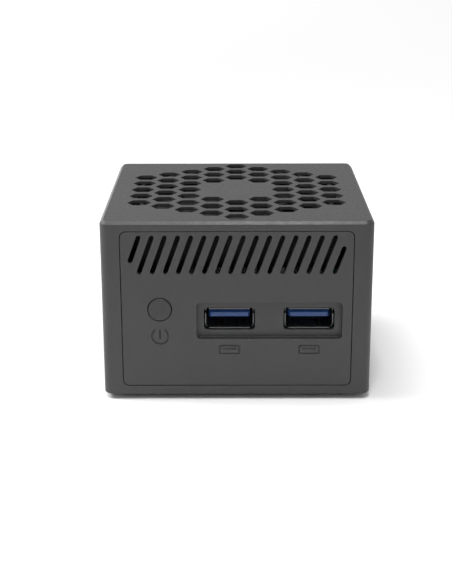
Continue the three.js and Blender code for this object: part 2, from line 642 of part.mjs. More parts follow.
// The cap: a slightly domed face, a collar that stops it behind the panel, and a nose.
function makeButton() {
  const face = FRONT - BUTTON_PROUD;
  const collar = PANEL_BACK + 0.15;
  const profile = [[0, 0], [1.6, 0.04], [2.6, 0.14], [BUTTON_RADIUS, 0.42], [BUTTON_RADIUS, collar - face],
    [BUTTON_RADIUS + 0.9, collar - face], [BUTTON_RADIUS + 0.9, collar - face + 0.7], [1.5, collar - face + 0.7],
    [1.5, BUTTON_NOSE - face], [0, BUTTON_NOSE - face]];
  return lengthwise(profile, 24, BUTTON_X, face, BUTTON_Z);
}

// The switch stands on the board on its bracket. The plunger slides in a blind hole in its front.
function makeSwitchBody() {
  const half = 3;
  const back = SWITCH_FRONT + 3.6;
  const across = [BUTTON_X - half, BUTTON_X + half];
  const box = block(across, [SWITCH_FRONT, back], [BUTTON_Z - half, BUTTON_Z + half]);
  const bracket = [
    block(across, [back - 0.8, back + 0.6], [ON_BOARD, BUTTON_Z + half]),
    block(across, [SWITCH_FRONT + 0.4, back + 0.6], [ON_BOARD, ON_BOARD + 0.6]),
  ];
  const hole = [SWITCH_FRONT - 1, SWITCH_FRONT + SWITCH_HOLE];
  return cut(join(box, bracket), rodAlongY(BUTTON_X, BUTTON_Z, PLUNGER_RADIUS + SLIP, ...hole));
}

function makePlunger() {
  const end = SWITCH_FRONT + SWITCH_HOLE - BUTTON_TRAVEL - SLIP;
  return rodAlongY(BUTTON_X, BUTTON_Z, PLUNGER_RADIUS, BUTTON_NOSE + SEAT, end);
}

// ---- mainboard ----------------------------------------------------------------------------------

const COOLER = { x: 24, front: -19.2, rear: 17.6, base: 2.4, fin: 1, pitch: 2.56, legInset: 3.2, leg: 2 };
const COOLER_LEG_X = COOLER.x - COOLER.legInset;
const coolerLegRows = [COOLER.front + COOLER.legInset, COOLER.rear - COOLER.legInset];
const coolerLegs = SIGNS.flatMap((side) => coolerLegRows.map((y) => [side * COOLER_LEG_X, y]));
const DRIVE = { x0: -24, x1: 18, y: 11, thick: 0.8, low: UNDER_BOARD - 3.5 };

// A bare board with its notches and holes, and the small parts that stay soldered to it.
function makeMainboard() {
  const bare = block([-BOARD_X, BOARD_X], [-BOARD_Y, BOARD_Y], [BOARD_LOW, BOARD_TOP]);
  const notch = POST_RADIUS + 0.5;
  const notches = corners(POST_X, POST_Y).map(([x, y]) => {
    const [sx, sy] = [Math.sign(x), Math.sign(y)];
    const span = (v, s) => [v - s * notch, v + s * 2 * notch].sort((a, b) => a - b);
    return block(span(x, sx), span(y, sy), [BOARD_LOW - 1, BOARD_TOP + 1]);
  });
  const holes = [
    corners(BOARD_BOSS_X, BOARD_SCREW_Y).map(([x, y]) => rod(x, y, 1.1, BOARD_LOW - 1, BOARD_TOP + 1, 8)),
    coolerLegs.map(([x, y]) => rod(x, y, 1.1, BOARD_LOW - 1, BOARD_TOP + 1, 8)),
  ];
  const part = (x, y, w, d, h) =>
    block([x - w / 2, x + w / 2], [y - d / 2, y + d / 2], [BOARD_TOP - 0.2, BOARD_TOP + h]);
  const coils = [0, 1, 2].map((i) => part(-28.6, -12 + i * 6.6, 5, 5, 3));
  const smoothing = [0, 1, 2].map((i) => rod(28.6, -10 + i * 6.4, 2.4, BOARD_TOP - 0.2, BOARD_TOP + 5, 10));
  const header = part(-28.4, 11.2, 4, 6, 3.2);
  return cut(join(bare, coils, smoothing, header), notches, holes);
}

const DIE_TOP = ON_BOARD + 1.9;

function makeProcessor() {
  return join(
    block([-12.5, 12.5], [-13, 11], [ON_BOARD, ON_BOARD + 1.2]),
    block([-6, 5], [-6, 3], [ON_BOARD + 1, DIE_TOP]),
  );
}

const makeMemoryChip = (x) => block([x - 4.5, x + 4.5], [-7, 5], [ON_BOARD, ON_BOARD + 1]);

// ---- cooler -------------------------------------------------------------------------------------

const COOLER_LOW = DIE_TOP + SEAT;

// Fins along Y on a base. The four corner legs stand on the board and take the screws from below.
function makeHeatsink() {
  const finTop = FAN_LOW - 1.8;
  const across = [COOLER.front, COOLER.rear];
  const base = block([-COOLER.x, COOLER.x], across, [COOLER_LOW, COOLER_LOW + COOLER.base]);
  const count = Math.floor((2 * COOLER.x - COOLER.fin) / COOLER.pitch) + 1;
  const fins = Array.from({ length: count }, (_, i) => {
    const x = (i - (count - 1) / 2) * COOLER.pitch;
    return block([x - COOLER.fin / 2, x + COOLER.fin / 2], across, [COOLER_LOW + 1, finTop]);
  });
  const legs = coolerLegs.map(([x, y]) => rod(x, y, COOLER.leg, ON_BOARD, COOLER_LOW + 1, 10));
  const bores = coolerLegs.map((at) => screwBore(at, COOLER_SCREW, BOARD_TOP, BOARD_TOP + COOLER_SCREW.long));
  return cut(join(base, fins, legs), bores);
}

// ---- fan ----------------------------------------------------------------------------------------

const FAN_PLATE = 1.2; // the disc that carries the motor, and its arms
const ROTOR_LOW = FAN_LOW + FAN_PLATE + 0.5;
const ROTOR_TOP = FAN_TOP - 0.6;
const HUB_RADIUS = FAN_HUB / 2;
const HUB_SKIN = 1;
const BEARING_RADIUS = 2.6;
const SHAFT_RADIUS = 1;
const SHAFT_SLIP = 0.08;
const MAGNET_THICK = 1.2;
const TUBE_TOP = ROTOR_TOP - HUB_SKIN - 0.5;

// A square frame with a round duct, and four slanted arms that hold the motor's plate and bearing tube.
function makeFanFrame() {
  const outline = roundedRect(FAN_SIZE, FAN_SIZE, 4.2);
  const mouth = FAN_DUCT / 2 + 0.9;
  const duct = turned([[0, FAN_LOW - 1], [FAN_DUCT / 2, FAN_LOW - 1], [FAN_DUCT / 2, FAN_TOP - 1.2],
    [mouth, FAN_TOP], [mouth, FAN_TOP + 1], [0, FAN_TOP + 1]], 32);
  const holes = corners(FAN_HOLE, FAN_HOLE).map(([x, y]) => join(
    rod(x, y, FAN_SCREW.shank + 3 * SCREW_SLIP, FAN_LOW - 1, FAN_TOP + 1, 8),
    rod(x, y, FAN_SCREW.head + SLIP, FAN_LOW - 1, FAN_LOW + FAN_SCREW_SINK, 12),
  ));
  const ring = cut(plate(outline, FAN_LOW, FAN_TOP), duct, holes);
  const arms = [0, 1, 2, 3].map((i) =>
    block([HUB_RADIUS - 3, FAN_DUCT / 2 + 0.5], [3, 5.4], [FAN_LOW, FAN_LOW + FAN_PLATE])
      .rotate([0, 0, 45 + 90 * i]));
  const motorPlate = rod(0, 0, HUB_RADIUS, FAN_LOW, FAN_LOW + FAN_PLATE, 24);
  const tube = rod(0, 0, BEARING_RADIUS, FAN_LOW + 0.5, TUBE_TOP, 12);
  const bore = rod(0, 0, SHAFT_RADIUS + SHAFT_SLIP, FAN_LOW + 0.7, TUBE_TOP + 1, 24);
  return cut(join(ring, arms, motorPlate, tube), bore);
}

// One blade: a thin sheet that twists and sweeps from the hub to the tip. u runs along the span and v
// along the chord.
function makeBlade() {
  const root = HUB_RADIUS - 0.4;
  const tip = FAN_DUCT / 2 - FAN_TIP_GAP;
  const low = ROTOR_LOW + 0.6;
  return sheet(4, 4, (u, v, side) => {
    const r = root + (tip - root) * u;
    const chord = 0.82 - 0.1 * u; // in radians
    const sweep = 0.42 * u * u;
    const rise = 4.8 + 0.8 * u;
    const camber = 0.9 * Math.sin(Math.PI * v);
    const thick = 0.45 + 0.75 * Math.sin(Math.PI * Math.min(1, v + 0.15)) * (1 - 0.35 * u);
    const a = (v - 0.5) * chord + sweep;
    return [r * Math.cos(a), r * Math.sin(a), low + rise * (1 - v) + camber + side * thick];
  });
}

function makeRotor() {
  const inner = HUB_RADIUS - HUB_SKIN;
  const cup = turned([[0, ROTOR_TOP], [SHAFT_RADIUS, ROTOR_TOP], [HUB_RADIUS - 0.8, ROTOR_TOP],
    [HUB_RADIUS, ROTOR_TOP - 0.8], [HUB_RADIUS, ROTOR_LOW], [inner, ROTOR_LOW], [inner, ROTOR_TOP - HUB_SKIN],
    [SHAFT_RADIUS, ROTOR_TOP - HUB_SKIN], [SHAFT_RADIUS, FAN_LOW + 1], [0, FAN_LOW + 1]].reverse(), 24);
  const blade = makeBlade();
  const blades = Array.from({ length: FAN_BLADES }, (_, i) => blade.rotate([0, 0, (360 / FAN_BLADES) * i]));
  return join(cup, cut(join(blades), rod(0, 0, inner + 0.2, ROTOR_LOW - 1, ROTOR_TOP + 1, 24)));
}

const MAGNET_OUTER = HUB_RADIUS - HUB_SKIN - SEAT;

function makeMagnetRing() {
  const levels = [ROTOR_LOW + 0.4, ROTOR_TOP - HUB_SKIN - 0.8];
  return cut(
    rod(0, 0, MAGNET_OUTER, ...levels, 24),
    rod(0, 0, MAGNET_OUTER - MAGNET_THICK, levels[0] - 1, levels[1] + 1, 24),
  );
}

// The laminated core has four poles, each wound with a coil, on a sleeve around the bearing tube.
function makeStator() {
  const reach = MAGNET_OUTER - MAGNET_THICK - 0.5;
  const low = ROTOR_LOW + 0.6;
  const levels = [low + 1.4, low + 3.8];
  const coil = [low, low + 5.2];
  const poles = [0, 1].flatMap((i) => [
    block([-reach + 0.9, reach - 0.9], [-1.2, 1.2], levels).rotate([0, 0, 90 * i]),
    join(block([-7.8, -4], [-2.5, 2.5], coil), block([4, 7.8], [-2.5, 2.5], coil)).rotate([0, 0, 90 * i]),
  ]);
  const shoes = cut(rod(0, 0, reach, ...levels, 20), rod(0, 0, reach - 1.1, low, low + 6, 20));
  const gaps = [0, 1].map((i) =>
    block([-reach - 1, reach + 1], [-1, 1], [low, low + 6]).rotate([0, 0, 45 + 90 * i]));
  const sleeve = rod(0, 0, BEARING_RADIUS + 1.2, low + 0.4, low + 4.8, 12);
  return cut(join(cut(shoes, gaps), poles, sleeve), rod(0, 0, BEARING_RADIUS + SLIP, low - 1, low + 7, 12));
}

// ---- leads inside the housing -------------------------------------------------------------------

function lead(points, radius, steps) {
  const section = shapeOf(Array.from({ length: 8 }, (_, i) =>
    [radius * Math.cos((i * Math.PI) / 4), radius * Math.sin((i * Math.PI) / 4)]));
  const extrudePath = new THREE.CatmullRomCurve3(points.map((p) => new THREE.Vector3(...p)));
  return solid(new THREE.ExtrudeGeometry(section, { steps, extrudePath, bevelEnabled: false }));
}

const FAN_PLUG = BOARD_TOP + 3.9; // the top of the fan's header
const belowFan = (share) => FAN_PLUG + share * (FAN_LOW - FAN_PLUG);
const fanLeadRoute = [[-27, 8.4, FAN_LOW - 0.9], [-27.2, 8.6, belowFan(0.68)], [-29.6, 9.6, belowFan(0.42)],
  [-29.2, 10.8, belowFan(0.17)], [-28.4, 11.2, FAN_PLUG]];

const BASE_GAP = UNDER_BOARD - COVER_TOP; // the space between the bottom cover and the board
const AERIAL_MID = COVER_TOP + BASE_GAP / 2;
const aerialLeadRoute = [[-13, -24, UNDER_BOARD - 2.9], [-19, -25, AERIAL_MID + 0.2 * BASE_GAP],
  [-26, -23.6, AERIAL_MID + 0.14 * BASE_GAP], [-31, -18.4, AERIAL_MID + 0.11 * BASE_GAP],
  [1.7 - CAVITY_X, -11, AERIAL_MID + 0.1 * BASE_GAP]];

// ---- front sockets ------------------------------------------------------------------------------

const USB_MOUTH = RECESS_FLOOR + 0.15; // the front sockets' mouths stand just behind the recess floor

// Rounded-rectangle section of a socket shell at y, seen along Y.
function socketRing(width, height, y, x, z) {
  return roundedLoop(width, height, 0.5, 2).map(([u, v]) => [x - u, y, z + v]);
}

// A folded metal tube with a lip flared outwards at its mouth and two spring fingers cut free in its floor.
function makeUsbShell(x) {
  const mouth = USB_MOUTH;
  const flare = 0.18;
  const tube = (shrink) => {
    const [width, height] = [USB_WIDTH - shrink, USB_HEIGHT - shrink];
    return loft([
      socketRing(width + 2 * flare, height + flare, mouth - (shrink ? 0.3 : 0), x, USB_AXIS),
      socketRing(width, height, mouth + 1.1, x, USB_AXIS),
      socketRing(width, height, mouth + USB_DEPTH + (shrink ? 1 : 0), x, USB_AXIS),
    ]);
  };
  const floor = USB_AXIS - USB_HEIGHT / 2;
  const fingers = SIGNS.flatMap((side) => SIGNS.map((edge) =>
    block([-0.17, 0.17], [0, 6.4], [-0.5, 0.8])
      .rotate([0, 0, edge * -7])
      .translate(x + side * 3 + edge * 0.95, mouth + 2, floor)));
  return cut(tube(0), tube(2 * USB_SHEET), fingers);
}

// The plastic core: a block that closes the back of the shell, and the tongue with the contacts.
function socketCore(x, z, mouth, depth, towards) {
  const at = (a, b) => [mouth + towards * a, mouth + towards * b].sort((p, q) => p - q);
  const width = USB_WIDTH - 2 * USB_SHEET - 2 * SEAT;
  const height = USB_HEIGHT - 2 * USB_SHEET - 2 * SEAT;
  const tongueTop = z + height / 2 - 0.55;
  const rootX = [x - width / 2 + 0.3, x + width / 2 - 0.3];
  const root = block(rootX, at(depth - 3.4, depth - SEAT), [z - height / 2, z + height / 2]);
  const half = USB_TONGUE_WIDTH / 2;
  const tongueLow = tongueTop - USB_TONGUE_THICK;
  const tongue = block([x - half, x + half], at(1.9, depth - 3), [tongueLow, tongueTop]);
  const nose = block([x - half + 0.5, x + half - 0.5], at(1.3, 2.2), [tongueLow + 0.3, tongueTop - 0.3]);
  return join(root, tongue, nose);
}

// ---- rear sockets -------------------------------------------------------------------------------

// Two sockets one above the other in a single sheet-metal cage.
function makeUsbStackShell() {
  const half = USB_STACK.width / 2;
  const cage = block([USB_STACK_X - half, USB_STACK_X + half], [REAR_FACE - USB_STACK.depth, REAR_FACE],
    [ON_BOARD, ON_BOARD + USB_STACK.height]);
  const mouths = usbStackLevels.map((z) => facePlate(
    roundedRect(USB_WIDTH - 2 * USB_SHEET, USB_HEIGHT - 2 * USB_SHEET, 0.4, USB_STACK_X, z, 1),
    REAR_FACE - USB_DEPTH,
    REAR_FACE + 1,
  ));
  return cut(cage, mouths);
}

// Two video sockets in one cage. Their mouths reach through the panel.
function makeHdmiShell() {
  const half = HDMI.width / 2;
  const cage = block([HDMI_X - half, HDMI_X + half], [REAR_FACE - HDMI.depth, CAVITY_Y - 0.4],
    [ON_BOARD, ON_BOARD + HDMI.height]);
  const sleeves = hdmiLevels.map((z) => facePlate(hdmiOutline(z, 0), CAVITY_Y - 1, REAR_FACE));
  const mouths = hdmiLevels.map((z) => facePlate(hdmiOutline(z, -HDMI.sheet), REAR_FACE - 11, REAR_FACE + 1));
  return cut(join(cage, sleeves), mouths);
}

function makeHdmiCore(z) {
  const back = REAR_FACE - 11 + SEAT;
  const root = block([HDMI_X - 5.4, HDMI_X + 5.4], [back, back + 1.6], [z - 1.6, z + 2.3]);
  const tongue = block([HDMI_X - 5.3, HDMI_X + 5.3], [back + 1, REAR_FACE - 1.6], [z - 0.5, z + 0.9]);
  return join(root, tongue);
}

// The network jack: a shielded block, its plug opening with the latch notch above.
function makeEthernetShield() {
  const z = ON_BOARD + ETHERNET.height / 2;
  const half = ETHERNET.width / 2;
  const cage = block([ETHERNET_X - half, ETHERNET_X + half], [REAR_FACE - ETHERNET.depth, REAR_FACE],
    [ON_BOARD, ON_BOARD + ETHERNET.height]);
  const w = ETHERNET.mouthWidth / 2;
  const low = z - ETHERNET.mouthDrop;
  const high = low + ETHERNET.mouthHeight;
  const mouth = shapeOf([[-w, low], [w, low], [w, high - 1.9], [3, high - 1.9], [3, high], [1.6, high],
    [1.6, high + 1.4], [-1.6, high + 1.4], [-1.6, high], [-3, high], [-3, high - 1.9], [-w, high - 1.9]], ETHERNET_X);
  return cut(cage, facePlate(mouth, REAR_FACE - ETHERNET.mouthDepth, REAR_FACE + 1));
}

// The tray that carries the eight contacts, on the floor of the opening.
function makeEthernetInsert() {
  const low = ON_BOARD + ETHERNET.height / 2 - ETHERNET.mouthDrop + SEAT;
  const w = ETHERNET.mouthWidth / 2 - SEAT;
  const back = REAR_FACE - ETHERNET.mouthDepth + SEAT;
  const tray = block([ETHERNET_X - w, ETHERNET_X + w], [back, back + 8], [low, low + 0.6]);
  const contacts = Array.from({ length: 8 }, (_, i) => {
    const x = ETHERNET_X + (i - 3.5) * 1.02;
    return block([x - 0.23, x + 0.23], [back + 0.5, back + 7.4], [low + 0.3, low + 1.1]);
  });
  return join(tray, contacts);
}

function makeDcJack() {
  const half = DC.width / 2;
  const top = ON_BOARD + DC.height;
  const body = block([DC_X - half, DC_X + half], [REAR_FACE - DC.depth, CAVITY_Y - 0.4], [ON_BOARD, top]);
  const collar = rodAlongY(DC_X, DC_Z, DC.bore + 0.3, CAVITY_Y - 1, DEPTH / 2 - 0.3, 24);
  return cut(join(body, collar), rodAlongY(DC_X, DC_Z, DC.bore - 0.4, REAR_FACE - 10.5, REAR_FACE + 1, 24));
}

function makeDcPin() {
  return rodAlongY(DC_X, DC_Z, DC.pin, REAR_FACE - 10.5 + SEAT, DEPTH / 2 - 1.6, 12);
}

// ---- under the board ----------------------------------------------------------------------------

const DRIVE_HIGH = DRIVE.low + DRIVE.thick;

function makeDrive() {
  const stick = block([DRIVE.x0, DRIVE.x1], [-DRIVE.y, DRIVE.y], [DRIVE.low, DRIVE_HIGH]);
  const chip = (x, w, d) => block([x - w / 2, x + w / 2], [-d / 2, d / 2], [DRIVE.low - 1.2, DRIVE.low + 0.3]);
  const notch = rod(DRIVE.x1, 0, 1.75, DRIVE.low - 2, DRIVE_HIGH + 1, 16);
  return cut(join(stick, chip(-13, 10, 14), chip(4, 14, 18)), notch);
}

// The edge connector, open towards the drive.
function makeDriveSocket() {
  const side = DRIVE.y + 0.8;
  const body = block([DRIVE.x0 - 4.6, DRIVE.x0 + 4.4], [-side, side], [DRIVE.low - 0.9, UNDER_BOARD]);
  const mouth = block([DRIVE.x0 - 0.4, DRIVE.x0 + 6], [-DRIVE.y - SEAT, DRIVE.y + SEAT],
    [DRIVE.low - SEAT, DRIVE_HIGH + SEAT]);
  const reliefY = [-DRIVE.y - 2, DRIVE.y + 2];
  const relief = block([DRIVE.x0 + 2, DRIVE.x0 + 6], reliefY, [DRIVE.low - 2, DRIVE.low + 0.4]);
  return cut(body, mouth, relief);
}

function makeDriveStandoff() {
  const barrel = rod(DRIVE.x1, 0, 2.7, DRIVE_HIGH + SEAT, UNDER_BOARD, 12);
  const bore = rod(DRIVE.x1, 0, DRIVE_SCREW.shank + SCREW_SLIP, DRIVE.low - 1, DRIVE_HIGH + 2.4, 12);
  return cut(barrel, bore);
}

const CELL_PLACE = [0, 21.8];
const COIN_RADIUS = 8; // a small lithium cell

function makeBatteryHolder() {
  const [x, y] = CELL_PLACE;
  const tray = rod(x, y, COIN_RADIUS + 1.2, UNDER_BOARD - 3.4, UNDER_BOARD, 16);
  const seat = rod(x, y, COIN_RADIUS + SLIP, UNDER_BOARD - 5, UNDER_BOARD - 0.8, 16);
  const wayY = [y + COIN_RADIUS - 1, y + COIN_RADIUS + 3];
  const way = block([x - 4, x + 4], wayY, [UNDER_BOARD - 5, UNDER_BOARD - 0.8]);
  return cut(tray, seat, way);
}

function makeCoinCell() {
  const [x, y] = CELL_PLACE;
  const top = UNDER_BOARD - 0.8 - SEAT;
  const crimp = COIN_RADIUS - 0.9;
  const profile = [[0, -2.5], [crimp, -2.5], [crimp, -2.1], [COIN_RADIUS, -2], [COIN_RADIUS, 0], [0, 0]];
  return turned(profile, 16).translate(x, y, top);
}

// The radio is under the board, and its aerial on the left wall is clear of the metal above.
function makeRadio() {
  return block([-15, -1], [-30, -17], [UNDER_BOARD - 1.8, UNDER_BOARD]);
}

function makeAerial() {
  const levels = [AERIAL_MID - BASE_GAP / 4, AERIAL_MID + BASE_GAP / 4];
  return block([-CAVITY_X + SEAT, -CAVITY_X + 0.6], [-16, 8], levels);
}

// ---- the assembly -------------------------------------------------------------------------------

const SIDES = [['left', -1], ['right', 1]];
const ENDS = [['front', -1], ['rear', 1]];
const COVER_SCREW_Z = COVER_TOP - COVER_LAND - SEAT;
const FAN_SCREW_Z = FAN_LOW + FAN_SCREW_SINK - SEAT;

place('housing', makeHousing(), GREY_PLASTIC);
place('front_panel', makeFrontPanel(), GREY_PLASTIC);
place('rear_panel', makeRearPanel(), GREY_PLASTIC);
place('bottom_cover', makeBottomCover(), GREY_PLASTIC);
place('power_button', makeButton(), GREY_PLASTIC);
place('switch_body', makeSwitchBody(), BLACK_PLASTIC);
place('switch_plunger', makePlunger(), BLACK_PLASTIC);
place('mainboard', makeMainboard(), BOARD_GREEN);
place('processor', makeProcessor(), CHIP_BLACK);
place('heatsink', makeHeatsink(), ALUMINIUM);
place('fan_frame', makeFanFrame(), BLACK_PLASTIC);
place('fan_rotor', makeRotor(), BLACK_PLASTIC);
place('fan_magnet_ring', makeMagnetRing(), FERRITE);
place('fan_stator', makeStator(), COPPER);
place('fan_lead', lead(fanLeadRoute, 0.7, 8), WIRE_BLACK);

ENDS.forEach(([end, sy], row) => {
  for (const [side, sx] of SIDES) {
    const corner = `${end}_${side}`;
    place(`foot_${corner}`, makeFoot(sx * (WIDTH / 2 - FOOT_INSET), sy * (DEPTH / 2 - FOOT_INSET)), RUBBER);
    place(`cover_screw_${corner}`, screw(sx * POST_X, sy * POST_Y, COVER_SCREW_Z, COVER_SCREW), BLACK_STEEL);
    place(`board_screw_${corner}`, screw(sx * BOARD_BOSS_X, sy * BOARD_SCREW_Y, UNDER_BOARD, BOARD_SCREW), STEEL);
    place(`fan_screw_${corner}`, screw(sx * FAN_HOLE, sy * FAN_HOLE, FAN_SCREW_Z, FAN_SCREW), BLACK_STEEL);
    const [legX, legY] = [sx * COOLER_LEG_X, coolerLegRows[row]];
    place(`heatsink_screw_${corner}`, screw(legX, legY, UNDER_BOARD, COOLER_SCREW), STEEL);
  }
});

SIDES.forEach(([side, sx], i) => {
  place(`memory_chip_${side}`, makeMemoryChip(sx * 18.4), CHIP_BLACK);
  place(`usb_front_${side}_shell`, makeUsbShell(frontPorts[i]), BLACK_STEEL);
  place(`usb_front_${side}_core`, socketCore(frontPorts[i], USB_AXIS, USB_MOUTH, USB_DEPTH, 1), BLUE_PLASTIC);
});

place('usb_rear_shell', makeUsbStackShell(), STEEL);
place('hdmi_shell', makeHdmiShell(), STEEL);
['lower', 'upper'].forEach((level, i) => {
  const core = socketCore(USB_STACK_X, usbStackLevels[i], REAR_FACE, USB_DEPTH, -1);
  place(`usb_rear_${level}_core`, core, BLUE_PLASTIC);
  place(`hdmi_${level}_core`, makeHdmiCore(hdmiLevels[i]), BLACK_PLASTIC);
});
place('ethernet_shield', makeEthernetShield(), STEEL);
place('ethernet_insert', makeEthernetInsert(), GOLD);
place('dc_jack', makeDcJack(), BLACK_PLASTIC);
place('dc_jack_pin', makeDcPin(), STEEL);

place('drive', makeDrive(), BOARD_GREEN);
place('drive_socket', makeDriveSocket(), BLACK_PLASTIC);
place('drive_standoff', makeDriveStandoff(), GOLD);
place('drive_screw', screw(DRIVE.x1, 0, DRIVE.low - SEAT, DRIVE_SCREW), STEEL);
place('battery_holder', makeBatteryHolder(), BLACK_PLASTIC);
place('coin_cell', makeCoinCell(), STEEL);
place('radio_module', makeRadio(), STEEL);
place('aerial', makeAerial(), COPPER);
place('aerial_lead', lead(aerialLeadRoute, 0.55, 9), WIRE_BLACK);

export default group;
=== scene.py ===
"""A palm-sized desktop computer on a pale floor.

Materials, fine pieces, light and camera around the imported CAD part.

Metres, in the CAD part's own frame: +X to the right, +Y to the back, +Z up, origin on the floor.
"""

import json
import math

import bmesh
import bpy
from mathutils import Matrix, Vector


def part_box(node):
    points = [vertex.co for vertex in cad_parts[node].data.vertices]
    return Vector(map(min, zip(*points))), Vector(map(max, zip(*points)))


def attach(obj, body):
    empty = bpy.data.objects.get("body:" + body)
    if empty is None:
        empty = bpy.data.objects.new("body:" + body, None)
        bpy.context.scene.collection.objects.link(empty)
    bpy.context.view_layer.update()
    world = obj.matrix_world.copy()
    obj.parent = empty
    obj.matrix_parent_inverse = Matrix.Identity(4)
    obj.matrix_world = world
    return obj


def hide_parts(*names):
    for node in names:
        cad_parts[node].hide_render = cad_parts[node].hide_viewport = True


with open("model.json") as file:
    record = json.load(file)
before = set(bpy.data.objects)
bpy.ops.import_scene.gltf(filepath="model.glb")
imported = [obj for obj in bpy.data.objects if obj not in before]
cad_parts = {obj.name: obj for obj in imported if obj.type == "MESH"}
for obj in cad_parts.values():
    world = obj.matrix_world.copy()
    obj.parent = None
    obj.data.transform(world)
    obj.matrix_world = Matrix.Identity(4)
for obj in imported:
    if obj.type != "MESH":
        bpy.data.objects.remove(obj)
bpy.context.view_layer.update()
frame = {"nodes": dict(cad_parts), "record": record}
nodes = frame["nodes"]

MM = 0.001

# ---- camera and light ----------------------------------------------------------------------------

CAMERA_PLACE = (-1.125 * MM, -349.26 * MM, 132.9 * MM)
CAMERA_DOWN = math.radians(18.085)
CAMERA_TURN = math.radians(0.322)  # to the left
CAMERA_ROLL = math.radians(-0.183)  # clockwise
CAMERA_LENS = 76.92  # on a 36 mm sensor
FLOOR_HALF = 4.0
FLOOR_DROP = 0.02 * MM  # under the feet
SKY = 0.62
FLOOR_WHITE = 0.93
OVERHEAD_POWER = 1.15  # a wide soft light above, in watts per square metre
OVERHEAD_WIDE = math.radians(26)
OVERHEAD_FROM = (-0.3, 0.1, 1.0)  # the way to it
LIGHTS = [
    # name, place, size, power in watts: each one looks at the middle of the part
    ("front", (0.02, -0.13, 0.3), 0.04, 0.4),
    ("left", (-0.24, 0.0, 0.22), 0.1, 0.5),
    ("left_back", (-0.8, 1.4, 0.42), 0.5, 3.0),
]
LIGHT_TARGET = Vector((0, 0, 0.03))

# ---- sizes of the fine pieces --------------------------------------------------------------------

EDGE_SOFT = 0.14 * MM  # rounding of moulded edges
EDGE_CRISP = 0.06 * MM  # rounding of small and stamped parts
SHEET = 0.32 * MM  # thickness of a socket's metal
SHELL_SLACK = 0.18 * MM  # from the CAD shell's flared mouth to its straight side
MOUTH_BACK = 0.4 * MM  # from the CAD shell's front to the middle of each edge of the sleeve
CORNER_BACK = 1.3 * MM  # how much further the sleeve is cut back at its corners
LIP_HALF_WIDE = 5.5 * MM  # half of the edge that stands forward below and above
LIP_HALF_HIGH = 1.45 * MM  # the same at the sides
LIP_RAMP = 0.2 * MM  # the step from there to the corners
TONGUE_THICK = 1.84 * MM
TONGUE_WIDTH = 11.1 * MM
TONGUE_DROP = 0.55 * MM  # from the shell's roof to the tongue
TONGUE_INSET = 1.3 * MM  # from the socket's mouth to the tongue's nose
TONGUE_RINGS = (  # in mm: distance behind the nose, then how far the sides, the underside and the top draw in
    (0, 0.5, 0.06, 0.58),
    (0.7, 0.04, 0, 0.05),
    (0.9, 0, 0, 0),
    (9.2, 0, 0, 0),
)
ROOF_GAP = 0.1 * MM  # between the shell's roof and the block that holds the tongue
BASE_GAP = 0.2 * MM  # the same over the shell's floor
BLOCK_DEPTH = 3.4 * MM
BLOCK_BACK_GAP = 0.2 * MM
BLOCK_OVERHANG = 0.1 * MM  # past each side of the tongue
CONTACT_ROWS = (  # in mm: places across, distance behind the mouth, length, half width
    ((-3.5, -3.5 + 7 / 3, -3.5 + 14 / 3, -3.5 + 21 / 3), 2.2, 6.4, 0.5),
    ((-4, -2, 0, 2, 4), 9.0, 1.6, 0.35),
)
CONTACT_PROUD = 0.06 * MM  # below the tongue
CONTACT_SUNK = 0.1 * MM  # into it
SHELL_CORNER = 0.7 * MM
FINGER_OFFSET = 3 * MM  # from a socket's middle to each spring finger
FINGER_SLOT_START = 2 * MM  # behind the CAD shell's front
FINGER_SLOT_LENGTH = 6.2 * MM
FINGER_SLOT_HALF = 0.16 * MM
FINGER_SLOT_NEAR = 0.6 * MM  # from the finger's middle to the slot, at the front
FINGER_SLOT_FAR = 1.35 * MM  # the same at the back
FINGER_SLOT_DOWN = 0.7 * MM
FINGER_SLOT_UP = 0.8 * MM
SPRING_STEPS = 8
SPRING_START = 2.1 * MM  # behind the CAD shell's front
SPRING_LENGTH = 6.0 * MM
SPRING_HALF = 0.42 * MM  # half width at the tip
SPRING_WIDENS = 0.72 * MM  # how much more that is at the root
SPRING_LIFT = 0.09 * MM  # over the shell's floor, before the bend
SPRING_RISE = 0.55 * MM
SPRING_THICK = 0.8 * SHEET
BUTTON_RIM = 0.9 * MM  # how much wider the hidden collar is than the face
BUTTON_FILLET = 0.42 * MM
BUTTON_DISH = 0.06 * MM  # how far the face's edge lies behind its middle
BUTTON_SKIRT = 1.5 * MM  # from the housing's front to the collar
BUTTON_COLLAR = 0.7 * MM
BUTTON_STEM = 1.5 * MM
BUTTON_STEPS = 8
GRILLE_THICK = 0.95 * MM
SEAL_THICK = 0.9 * MM
SEAL_INSET = 0.1 * MM  # from the fan frame's side
SEAL_GAP_LOW = 0.02 * MM
SEAL_GAP_HIGH = 0.05 * MM
FOOT_FILLET = 0.35 * MM
FOOT_DISH = 0.12 * MM
SCREW_HEAD = 1.1 * MM
SCREW_CROWN = 0.45 * MM
CROSS_HALF = 0.2 * MM
CROSS_DEPTH = 0.6 * MM
ROUND_STEPS = 6  # along a quarter of a fillet
RIM_SIDES = 96
FOOT_SIDES = 48
SCREW_SIDES = 40
AXIS = 1e-6  # a radius of nearly nothing, for points on the axis of a turned piece


# ---- materials -----------------------------------------------------------------------------------


def shader(name, color, roughness, metallic=0.0):
    """A new material with a Principled shader: the material, its node tree and the shader."""
    material = bpy.data.materials.new(name)
    material.use_nodes = True
    tree = material.node_tree
    bsdf = tree.nodes["Principled BSDF"]
    bsdf.inputs["Base Color"].default_value = (*color, 1)
    bsdf.inputs["Roughness"].default_value = roughness
    bsdf.inputs["Metallic"].default_value = metallic
    return material, tree, bsdf


